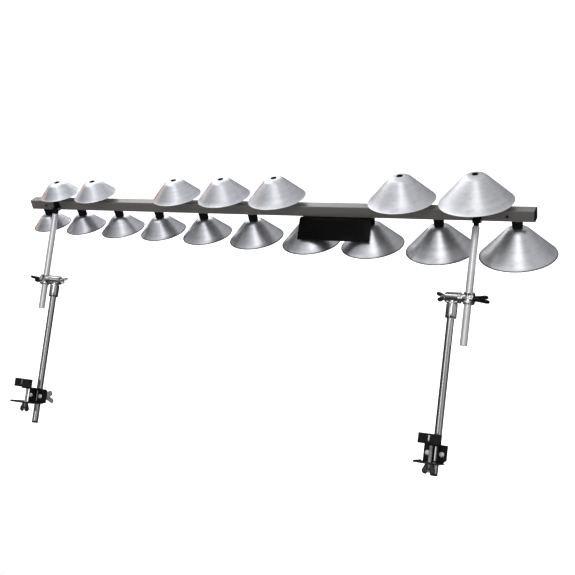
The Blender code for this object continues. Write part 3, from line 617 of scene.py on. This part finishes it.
sheet = sign.modifiers.new("sheet", "SOLIDIFY")
sheet.thickness = 0.0018
sheet.offset = 0
only(sign)
bpy.ops.object.modifier_apply(modifier=sheet.name)
for side in (-1, 1):
    for inner, front in ((0.0760, 0.0036), (0.0815, -0.0005)):
        near, far = sorted((side * inner, side * 0.12))
        carve(sign, block("corner", (near, front, -0.02), (far, 0.05, 0.02)))
soften(sign, 0.0004, 2, 50)
seat(sign, on_beam(sign_x, 0, 0), (roll, 0, 0))
finish(sign, "beam", "sign_black", black_paint(), "sign_plate")


# Pivot brackets
# A black powder-coated fork on the beam's front for each arm: a back plate, two cheeks with round
# ends, and a chrome pin with a round head that the rod's tongue turns on.
def powder_coat():
    material, shader, place = new_finish("black_powder_coat", 0.0, 0.42, gloss=0.16)
    peel = place.noise(900, 3, 0.6)
    cloud = place.noise(70, 4, 0.6)
    rubbed = place.noise(220, 4, 0.7).between(0.62, 0.8)
    shade = (peel * 0.4 + cloud * 0.6).between(0.3, 0.75).tint((0.004, 0.004, 0.0042), (0.013, 0.013, 0.0135))
    feed((rubbed * 0.3).blend(shade, (0.04, 0.04, 0.041, 1)), shader, "Base Color")
    feed(0.3 + cloud * 0.22, shader, "Roughness")
    feed(peel.bump(0.22, 0.0003), shader, "Normal")
    return material


def chrome_plate(name="chrome_plate", stretch=(1, 1, 1)):
    material, shader, place = new_finish(name, 1.0, 0.1)
    smear = place.noise(38, 4, 0.6, stretch)
    pits = place.noise(1300, 3, 0.7).between(0.66, 0.8)
    tone = smear.between(0.3, 0.7).tint((0.66, 0.65, 0.66), (0.78, 0.775, 0.78))
    feed((pits * 0.5).blend(tone, (0.34, 0.33, 0.33, 1)), shader, "Base Color")
    feed(0.07 + smear * 0.12 + pits * 0.2, shader, "Roughness")
    feed(pits.bump(0.05, 0.0001), shader, "Normal")
    return material


coat_finish = powder_coat()
chrome_finish = chrome_plate()
tongue_half = 0.0057
cheek_out = 0.010
socket_reach = 0.0395
arms = {}
for side, inward, pivot_x, drop in (("left", 1, 0.103, 0.228), ("right", -1, beam_length - 0.140, 0.200)):
    pivot = on_beam(pivot_x, -0.011, 0.006)
    centre = (pivot[0], pivot[1], pivot[2] - drop)
    arms[side] = (inward, pivot, centre, pivot[0] + inward * socket_reach)
for side, (inward, pivot, centre, rod_x) in arms.items():
    fork = block(f"fork_plate_{side}", (-cheek_out, 0.0067, -0.004), (cheek_out, 0.0107, 0.022))
    ears = lathe("ears", [(0.0063, -cheek_out), (0.0063, cheek_out)], 48)
    seat(ears, (0, 0, 0), (0, math.pi / 2, 0))
    carve(fork, ears, "UNION")
    carve(fork, block("arms", (-cheek_out, 0, -0.0063), (cheek_out, 0.0085, 0.0063)), "UNION")
    carve(fork, block("slot", (-0.006, -0.02, -0.03), (0.006, 0.0067, 0.03)))
    soften(fork, 0.0007, 3, 40)
    pin = lathe(f"pivot_pin_{side}", [(0.003, -cheek_out + 0.0002), (0.003, cheek_out), (0.0052, cheek_out),
                                      (0.0055, cheek_out + 0.0006), (0.0053, cheek_out + 0.0022),
                                      (0.004, cheek_out + 0.0029)], 40)
    seat(pin, (0, 0, 0), (0, math.pi / 2, 0))
    seat(fork, pivot, (roll, 0, 0))
    seat(pin, pivot, (roll, 0, 0))
    finish(fork, "beam", "black_casting", coat_finish, f"{side}_pivot_bracket")
    finish(pin, "beam", "chrome", chrome_finish)


# Upper rods
# Pale drawn aluminium tube, 19 mm across, with a black tongue plugged into its top. The tongue is
# flat between the fork's cheeks and round about the pin; the tube's top edge is rolled in to it.
def drawn_aluminium():
    material, shader, place = new_finish("drawn_aluminium", 0.7, 0.34)
    drawn = place.noise(1500, 2, 0.6, (1, 1, 0.008))
    cloud = place.noise(30, 4, 0.6)
    scuff = place.noise(240, 4, 0.7, (1, 1, 0.3)).between(0.6, 0.78)
    shade = (drawn * 0.5 + cloud * 0.5).between(0.3, 0.7)
    tone = shade.tint((0.88, 0.885, 0.89), (0.96, 0.965, 0.97))
    feed((scuff * 0.4).blend(tone, (0.60, 0.60, 0.61, 1)), shader, "Base Color")
    feed(0.27 + drawn * 0.1 + cloud * 0.08 + scuff * 0.1, shader, "Roughness")
    feed(drawn.bump(0.12, 0.0001), shader, "Normal")
    return material


rod_finish = drawn_aluminium()
tongue_finish = moulded_plastic("tongue_plastic", (0.006, 0.006, 0.006), 0.36)
upper_reach = 0.320
rod_radius = 0.0095
rod_bore = 0.008
for side, (inward, pivot, centre, rod_x) in arms.items():
    rod = lathe(f"upper_tube_{side}", [(0.0079, -0.0156), (0.0083, -0.0153), (0.0088, -0.0159),
                                       (rod_radius, -0.0186), (rod_radius, -0.25),
                                       (rod_radius, -upper_reach + 0.0007), (0.0088, -upper_reach),
                                       (0.0081, -upper_reach), (rod_bore, -upper_reach + 0.0006),
                                       (rod_bore, -0.0189)], 72, ring=True)
    tongue = lathe(f"tongue_{side}", [(0.006, -tongue_half), (0.006, tongue_half)], 48)
    seat(tongue, (0, 0, 0), (0, math.pi / 2, 0))
    bpy.ops.object.mode_set(mode="EDIT")
    pick(tongue, "VERT", lambda vertex: vertex.co.z < 0.0001)
    bpy.ops.transform.resize(value=(1, 1, 0), center_override=(0, 0, 0))
    bpy.ops.transform.translate(value=(0, 0, -0.017))
    bpy.ops.object.mode_set(mode="OBJECT")
    hole = lathe("hole", [(0.0034, -0.02), (0.0034, 0.02)], 32)
    carve(tongue, seat(hole, (0, 0, 0), (0, math.pi / 2, 0)))
    soften(tongue, 0.0007, 3, 40)
    stem = lathe("stem", [(0.0077, -0.0152), (0.0077, -0.044), (0.0070, -0.0449)], 40)
    carve(tongue, stem, "UNION")
    seat(rod, pivot)
    seat(tongue, pivot)
    finish(rod, f"{side}_upper_rod", "bright_aluminium", rod_finish, f"{side}_upper_rod")
    finish(tongue, f"{side}_upper_rod", "black_casting", tongue_finish)


# Tilter heads
# Chrome-plated castings. The eye slides on the upper rod, a flange on its outer side takes the
# locking screw, and its inner side ends in the toothed half of the tilt hinge.
def rod_way(low, high):
    """The hole for a rod, with a clearance of 0.3 mm."""
    return lathe("rod_way", [(0.0098, low), (0.0098, high)], 64)


for side, (inward, pivot, centre, rod_x) in arms.items():
    lay = (0, inward * math.pi / 2, 0)
    head = lathe(f"tilter_eye_{side}", [(0.0045, -0.0149), (0.0150, -0.0149), (0.0162, -0.0140),
                                        (0.0164, -0.0128), (0.0163, -0.0108), (0.0154, -0.0098),
                                        (0.0128, -0.0094), (0.0126, -0.0085), (0.0126, 0.0105),
                                        (0.0122, 0.0116), (0.0106, 0.0121), (0.0104, 0.0130),
                                        (0.0104, 0.0176), (0.0110, 0.0183), (0.0138, 0.0186),
                                        (0.0145, 0.0193), (0.0145, 0.0212), (0.0139, 0.0219),
                                        (0.0139, 0.0238), (0.0045, 0.0238)], 72)
    seat(head, (0, 0, 0), lay)
    carve(head, lathe("sleeve", [(0.0118, -0.0153), (0.0128, -0.0147), (0.0132, -0.0135), (0.0132, -0.0104),
                                 (0.0128, -0.0098), (0.0128, 0.0098), (0.0132, 0.0104), (0.0132, 0.0135),
                                 (0.0128, 0.0147), (0.0118, 0.0153)], 72), "UNION")
    carve(head, rod_way(-0.03, 0.03))
    near, far = sorted((0, -inward * 0.02))
    carve(head, block("slit", (near, -0.0008, -0.03), (far, 0.0008, 0.03)))
    soften(head, 0.0004, 2, 50)
    seat(head, centre)
    finish(head, f"{side}_eye", "chrome", chrome_finish, f"{side}_tilter_head")

    teeth = lathe(f"hinge_teeth_{side}", [(0.0128, 0.0219), (0.0143, 0.0219), (0.0143, 0.0239),
                                          (0.0128, 0.0239)], 96, ring=True)
    only(teeth)
    bpy.ops.object.mode_set(mode="EDIT")
    pick(teeth, "VERT", lambda vertex: vertex.co.z > 0.023
         and round(math.degrees(math.atan2(vertex.co.y, vertex.co.x)) / 3.75) % 4 < 2)
    bpy.ops.transform.translate(value=(0, 0, -0.0012))
    bpy.ops.object.mode_set(mode="OBJECT")
    seat(teeth, centre, lay)
    finish(teeth, f"{side}_eye", "chrome", chrome_finish)


# Tilter bases
# The turning half of the hinge: a fluted chrome barrel with a rounded nose, welded to the socket
# that holds the lower rod, which has a fine groove turned near its foot.
for side, (inward, pivot, centre, rod_x) in arms.items():
    barrel = lathe(f"tilter_barrel_{side}", [(0.0132, 0.0245), (0.0145, 0.0252), (0.0145, 0.0555),
                                             (0.0138, 0.0570), (0.0121, 0.0588), (0.0096, 0.0602),
                                             (0.0060, 0.0609)], 80)
    only(barrel)
    bpy.ops.object.mode_set(mode="EDIT")
    pick(barrel, "VERT", lambda vertex: 0.025 < vertex.co.z < 0.0572
         and round(math.degrees(math.atan2(vertex.co.y, vertex.co.x)) / 4.5) % 8 < 4)
    bpy.ops.transform.resize(value=(0.88, 0.88, 1), center_override=(0, 0, 0))
    bpy.ops.object.mode_set(mode="OBJECT")
    seat(barrel, (0, 0, 0), (0, inward * math.pi / 2, 0))
    socket = lathe("socket", [(0.0118, -0.0005), (0.0120, -0.0130), (0.0124, -0.0150), (0.0143, -0.0170),
                              (0.0145, -0.0185), (0.0145, -0.0440), (0.0141, -0.0444), (0.0141, -0.0452),
                              (0.0145, -0.0456), (0.0145, -0.0520), (0.0139, -0.0529)], 72)
    carve(barrel, seat(socket, (inward * socket_reach, 0, 0)), "UNION")
    carve(barrel, seat(rod_way(-0.018, -0.06), (inward * socket_reach, 0, 0)))
    seat(barrel, centre)
    finish(barrel, f"{side}_lower_arm", "chrome", chrome_finish, f"{side}_tilter_base")


# Wing screws and wing nuts
# Pressed steel wings on a turned hub. The eye's screw is blackened, the tilt's and the clamp's are
# bright, and the nut under each jaw is darkened by handling, with a bright sleeve round its thread.
def wing(hub, reach, span, sheet, base, top, bore=0.0, shank=0.0, roundness=0.42):
    """Two wings on a hub that stands on height 0. With a bore it is a nut, with a shank a screw."""
    if bore:
        body = lathe("wing_hub", [(base, 0), (base, hub * 0.12), (base * 0.93, hub * 0.2), (top, hub * 0.9),
                                  (top * 0.85, hub)], 40)
    else:
        body = lathe("wing_hub", [(0.0037, -shank), (0.004, -shank + 0.0005), (0.004, 0), (base, 0),
                                  (base, hub * 0.12), (base * 0.93, hub * 0.2), (top, hub * 0.88),
                                  (top * 0.7, hub)], 40)
    lobe = min(reach - hub / 2, span / 2) * roundness
    for way in (-1, 1):
        middle = (way * (span / 2 - lobe), 0, reach - lobe)
        bpy.ops.mesh.primitive_cylinder_add(vertices=40, radius=lobe, depth=sheet, location=middle,
                                            rotation=(math.pi / 2, 0, 0))
        paddle = bpy.context.active_object
        bpy.ops.object.transform_apply(location=True, rotation=True, scale=True)
        root = (way * top * 0.75, hub * 0.45)
        pull = (root[0] - middle[0], root[1] - middle[2])
        length = math.hypot(*pull)
        bpy.ops.object.mode_set(mode="EDIT")
        for narrow, share in ((0.15, 0.5), (0.62, 0.42)):
            pick(paddle, "VERT", lambda vertex: ((vertex.co.x - middle[0]) * pull[0]
                 + (vertex.co.z - middle[2]) * pull[1]) / length / lobe > narrow)
            bpy.ops.transform.translate(value=(pull[0] * share, 0, pull[1] * share))
        bpy.ops.object.mode_set(mode="OBJECT")
        soften(paddle, sheet * 0.3, 3, 50)
        carve(body, paddle, "UNION")
    if bore:
        carve(body, lathe("thread_way", [(bore, -0.01), (bore, 0.05)], 40))
    return body


def bright_steel(name="bright_steel", roughness=0.18, dark=(0.40, 0.39, 0.385), light=(0.66, 0.65, 0.64),
                 metallic=1.0):
    material, shader, place = new_finish(name, metallic, roughness)
    cloud = place.noise(160, 4)
    scuff = place.noise(700, 3, 0.7).between(0.6, 0.8)
    feed((cloud * 0.7 + scuff * 0.3).between(0.25, 0.75).tint(dark, light), shader, "Base Color")
    feed(roughness + cloud * 0.14 + scuff * 0.15, shader, "Roughness")
    feed(cloud.bump(0.08, 0.0004), shader, "Normal")
    return material


def black_steel(name, dark, light):
    material, shader, place = new_finish(name, 0.75, 0.34)
    cloud = place.noise(120, 4, 0.6)
    rub = place.noise(420, 3, 0.7).between(0.55, 0.78)
    feed((cloud * 0.5 + rub * 0.5).between(0.2, 0.8).tint(dark, light), shader, "Base Color")
    feed(0.26 + cloud * 0.16, shader, "Roughness")
    feed(cloud.bump(0.1, 0.0004), shader, "Normal")
    return material


bright_finish = bright_steel()
zinc_finish = bright_steel("zinc_plate", 0.34, (0.90, 0.92, 0.91), (0.98, 1.0, 0.99), 0.45)
cast_finish = bright_steel("zinc_casting", 0.42, (0.50, 0.495, 0.49), (0.74, 0.735, 0.73), 0.75)
screw_steel = bright_steel("screw_steel", 0.34, (0.66, 0.65, 0.645), (0.92, 0.91, 0.90), 0.7)
black_finish = black_steel("blackened_steel", (0.02, 0.02, 0.021), (0.10, 0.098, 0.096))
grey_finish = black_steel("handled_steel", (0.05, 0.05, 0.052), (0.20, 0.195, 0.19))
clamp_y = 0.078
clamp_z = -0.024
stud_forward = 0.0565
for side, (inward, pivot, centre, rod_x) in arms.items():
    lock = wing(0.016, 0.0368, 0.0376, 0.0036, 0.0078, 0.0064, shank=0.0055)
    lock.name = f"eye_lock_{side}"
    seat(lock, (0, 0, 0), (0, 0, -inward * math.radians(68)))
    seat(lock, (centre[0] - inward * 0.0153, centre[1], centre[2]), (0, -inward * math.pi / 2, 0))
    finish(lock, f"{side}_eye_screw", "dark_steel", black_finish, f"{side}_eye_wing_screw")

    tilt = wing(0.009, 0.0192, 0.0310, 0.0034, 0.0064, 0.0057, shank=0.045)
    tilt.name = f"tilt_lock_{side}"
    seat(tilt, (0, 0, 0), (0, 0, -math.pi / 4))
    seat(tilt, (centre[0] + inward * 0.0613, centre[1], centre[2]), (0, inward * math.pi / 2, 0))
    finish(tilt, f"{side}_tilt_screw", "chrome", bright_finish, f"{side}_tilt_wing_screw")

    bolt = wing(0.012, 0.0318, 0.0418, 0.0036, 0.0065, 0.0057, shank=0.0261)
    bolt.name = f"rod_lock_{side}"
    seat(bolt, (0, 0, 0), (-math.pi / 2, 0, 0))
    seat(bolt, (rod_x, clamp_y + 0.036, clamp_z), (0, math.radians(70), 0))
    finish(bolt, f"{side}_rod_lock", "chrome", cast_finish, f"{side}_rod_wing_bolt")

    nut = wing(0.0158, 0.0258, 0.0342, 0.0036, 0.0060, 0.0053, bore=0.0044, roundness=0.5)
    nut.name = f"jaw_nut_{side}"
    sleeve = lathe(f"jaw_nut_sleeve_{side}", [(0.0045, 0.0001), (0.0064, 0.0001), (0.0066, 0.0006),
                                              (0.0066, 0.0030), (0.0061, 0.0036), (0.0059, 0.0150),
                                              (0.0055, 0.0159), (0.0045, 0.0159)], 40, ring=True)
    for piece, slot, material in ((nut, "dark_steel", grey_finish), (sleeve, "chrome", bright_finish)):
        seat(piece, (rod_x, clamp_y - stud_forward, clamp_z - 0.0243), (math.pi, 0, 0))
        finish(piece, f"{side}_jaw_nut", slot, material)
    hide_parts(f"{side}_jaw_wing_nut")


# Lower rods
# Chromed steel tube, 19 mm across, from the tilter's socket down through the clamp, with a black
# plastic cap pushed over its wall at the foot.
tube_finish = chrome_plate("chrome_tube", (1, 1, 0.08))
foot = -0.4509
for side, (inward, pivot, centre, rod_x) in arms.items():
    rod = lathe(f"lower_tube_{side}", [(rod_bore, -0.0184), (rod_radius, -0.0184), (rod_radius, -0.1),
                                       (rod_radius, foot + 0.0062), (0.0086, foot + 0.006),
                                       (rod_bore, foot + 0.006)], 72, ring=True)
    cap = lathe(f"rod_foot_{side}", [(0.0078, foot + 0.02), (0.0078, foot + 0.0058),
                                     (rod_radius, foot + 0.0057), (rod_radius, foot + 0.0012),
                                     (0.0088, foot + 0.0002), (0.007, foot)], 56)
    seat(rod, (rod_x, centre[1], centre[2]))
    seat(cap, (rod_x, centre[1], centre[2]))
    finish(rod, f"{side}_lower_arm", "chrome", tube_finish, f"{side}_lower_rod")
    finish(cap, f"{side}_lower_arm", "black_plastic", plug_finish)


# Clamp blocks
# Two black powder-coated halves drawn together round the lower rod by two bright bolts. The front
# half has a long window on the rod, a notched corner, and the cast arm that carries the fixed jaw.
front_half = 0.029
back_half = 0.022
arm_half = 0.014
bolt_off = 0.018
for side, (inward, pivot, centre, rod_x) in arms.items():
    middle = (rod_x, clamp_y, clamp_z)
    front = block(f"clamp_front_{side}", (-front_half, -0.014, -0.023), (front_half, -0.0004, 0.023))
    soften(front, 0.0022, 4)
    arm = block("arm", (-arm_half, -0.0677, 0.0200), (arm_half, -0.0125, 0.024))
    carve(arm, block("web", (-arm_half, -0.0677, 0.0200), (arm_half, -0.0637, 0.0333)), "UNION")
    carve(arm, block("tip", (-arm_half, -0.0799, 0.0273), (arm_half, -0.0637, 0.0333)), "UNION")
    soften(arm, 0.0012, 3)
    carve(front, arm, "UNION")
    carve(front, block("rise", (-arm_half, -0.015, 0.0182), (arm_half, -0.0115, 0.024)), "UNION")
    window = lathe("window", [(0.006, -0.02), (0.006, 0.02)], 32)
    only(window)
    bpy.ops.object.mode_set(mode="EDIT")
    for end in (-1, 1):
        pick(window, "VERT", lambda vertex: vertex.co.y * end > -0.00001)
        bpy.ops.transform.translate(value=(0, end * 0.013, 0))
    bpy.ops.object.mode_set(mode="OBJECT")
    carve(front, seat(window, (0, -0.01, 0), (math.pi / 2, 0, 0)))
    carve(front, block("notch", (0.022, -0.02, -0.03), (0.035, 0.001, -0.016)))
    carve(front, rod_way(-0.03, 0.03))
    stud = lathe("stud_way", [(0.0043, 0.01), (0.0043, 0.04)], 32)
    carve(front, seat(stud, (0, -stud_forward, 0)))
    soften(front, 0.0004, 2, 60)
    seat(front, middle)
    finish(front, f"{side}_clamp", "black_casting", coat_finish, f"{side}_clamp_jaw")

    back = block(f"clamp_back_{side}", (-back_half, 0.0004, -0.021), (back_half, 0.0136, 0.021))
    soften(back, 0.003, 4)
    boss = lathe("boss", [(0.0105, 0.010), (0.0105, 0.0135), (0.0100, 0.014)], 48)
    carve(back, seat(boss, (0, 0, 0), (-math.pi / 2, 0, 0)), "UNION")
    carve(back, rod_way(-0.03, 0.03))
    thread = lathe("thread", [(0.0044, 0), (0.0044, 0.03)], 32)
    carve(back, seat(thread, (0, 0, 0), (-math.pi / 2, 0, 0)))
    seat(back, middle)
    finish(back, f"{side}_clamp", "black_casting", coat_finish, f"{side}_clamp_back")

    for number, x in enumerate((-bolt_off, bolt_off)):
        head = lathe(f"block_bolt_{side}_{number + 1}", [(0.0064, 0), (0.0064, 0.0016), (0.0061, 0.0025),
                                                         (0.0054, 0.0031), (0.0035, 0.0035),
                                                         (0.0012, 0.0036)], 40)
        seat(head, (rod_x + x, clamp_y - 0.0139, clamp_z), (math.pi / 2, 0, 0))
        finish(head, f"{side}_clamp", "chrome", zinc_finish)


# Jaw pads
# Thick black rubber pushed on the arm's tip. The upper part is ribbed, the lower part is a smooth
# band, and a bright steel strip shows in a slot down the middle of the front.
pad_finish = rubber("pad_rubber", 2.2)
pad_half = 0.028
rib_step = 0.0026
for side, (inward, pivot, centre, rod_x) in arms.items():
    middle = (rod_x, clamp_y, clamp_z)
    pad = block(f"rubber_pad_{side}", (-pad_half, -0.088, 0.024), (pad_half, -0.068, 0.049))
    only(pad)
    bpy.ops.object.mode_set(mode="EDIT")
    pick(pad, "EDGE", lambda edge: abs(edge.verts[0].co.z - edge.verts[1].co.z) > 0.02)
    bpy.ops.mesh.bevel(offset=0.0042, segments=6)
    for height in [0.0325, 0.0332] + [0.0352 + rib_step * rib for rib in range(5)]:
        bpy.ops.mesh.select_all(action="SELECT")
        bpy.ops.mesh.bisect(plane_co=(0, 0, height), plane_no=(0, 0, 1))
    pick(pad, "VERT", lambda vertex: 0.0331 < vertex.co.z < 0.0487
         and round((vertex.co.z - 0.0326) / rib_step) % 2 == 0)
    bpy.ops.transform.resize(value=(0.986, 0.986, 1), center_override=(0, -0.078, 0.04))
    bpy.ops.object.mode_set(mode="OBJECT")
    carve(pad, block("pocket", (-0.0143, -0.0803, 0.027), (0.0143, -0.06, 0.0336)))
    carve(pad, block("slot", (-0.0032, -0.09, 0.0290), (0.0032, -0.0862, 0.0462)))
    soften(pad, 0.0006, 2, 50)
    seat(pad, middle)
    finish(pad, f"{side}_clamp", "black_rubber", pad_finish, f"{side}_jaw_pad")

    strip = block(f"pad_strip_{side}", (-0.0029, -0.0875, 0.0294), (0.0029, -0.0855, 0.0458))
    soften(strip, 0.0006, 3)
    seat(strip, middle)
    finish(strip, f"{side}_clamp", "chrome", bright_finish)


# Jaw screws and plates
# A carriage bolt hangs through the arm with its whole shank threaded. The steel plate that closes on
# the rail rides on it, guided by the block's face, and turns up in a small lip at its left end.
pitch = 0.00125
crest, root = 0.0040, 0.0034
screw_profile = [(0.0030, 0.0042), (0.0052, 0.0037), (0.0064, 0.0026), (0.0065, 0.0004), (crest, 0.0003)]
level = -0.007
while level > -0.0685:
    screw_profile += [(crest, level), (root, level - 0.0006)]
    level -= pitch
screw_profile += [(root, -0.0692), (0.0030, -0.0699)]
for side, (inward, pivot, centre, rod_x) in arms.items():
    screw = lathe(f"jaw_bolt_{side}", screw_profile, 32)
    seat(screw, (rod_x, clamp_y - stud_forward, clamp_z + 0.024))
    finish(screw, f"{side}_clamp", "chrome", screw_steel, f"{side}_jaw_screw")

    plate = block(f"jaw_sheet_{side}", (-0.033, -0.088, -0.003), (0.029, -0.0184, 0))
    only(plate)
    bpy.ops.object.mode_set(mode="EDIT")
    bpy.ops.mesh.select_all(action="SELECT")
    bpy.ops.mesh.bisect(plane_co=(-0.030, 0, 0), plane_no=(1, 0, 0))
    pick(plate, "FACE", lambda face: all(vertex.co.z > -0.0001 and vertex.co.x < -0.0299
                                         for vertex in face.verts))
    bpy.ops.mesh.extrude_region_move(TRANSFORM_OT_translate={"value": (0, 0, 0.0025)})
    bpy.ops.object.mode_set(mode="OBJECT")
    soften(plate, 0.0006, 3)
    hole = lathe("hole", [(0.0044, -0.01), (0.0044, 0.01)], 40)
    carve(plate, seat(hole, (0, -stud_forward, 0)))
    seat(plate, (rod_x, clamp_y, clamp_z - 0.021))
    finish(plate, f"{side}_jaw", "dark_steel", black_finish, f"{side}_jaw_plate")
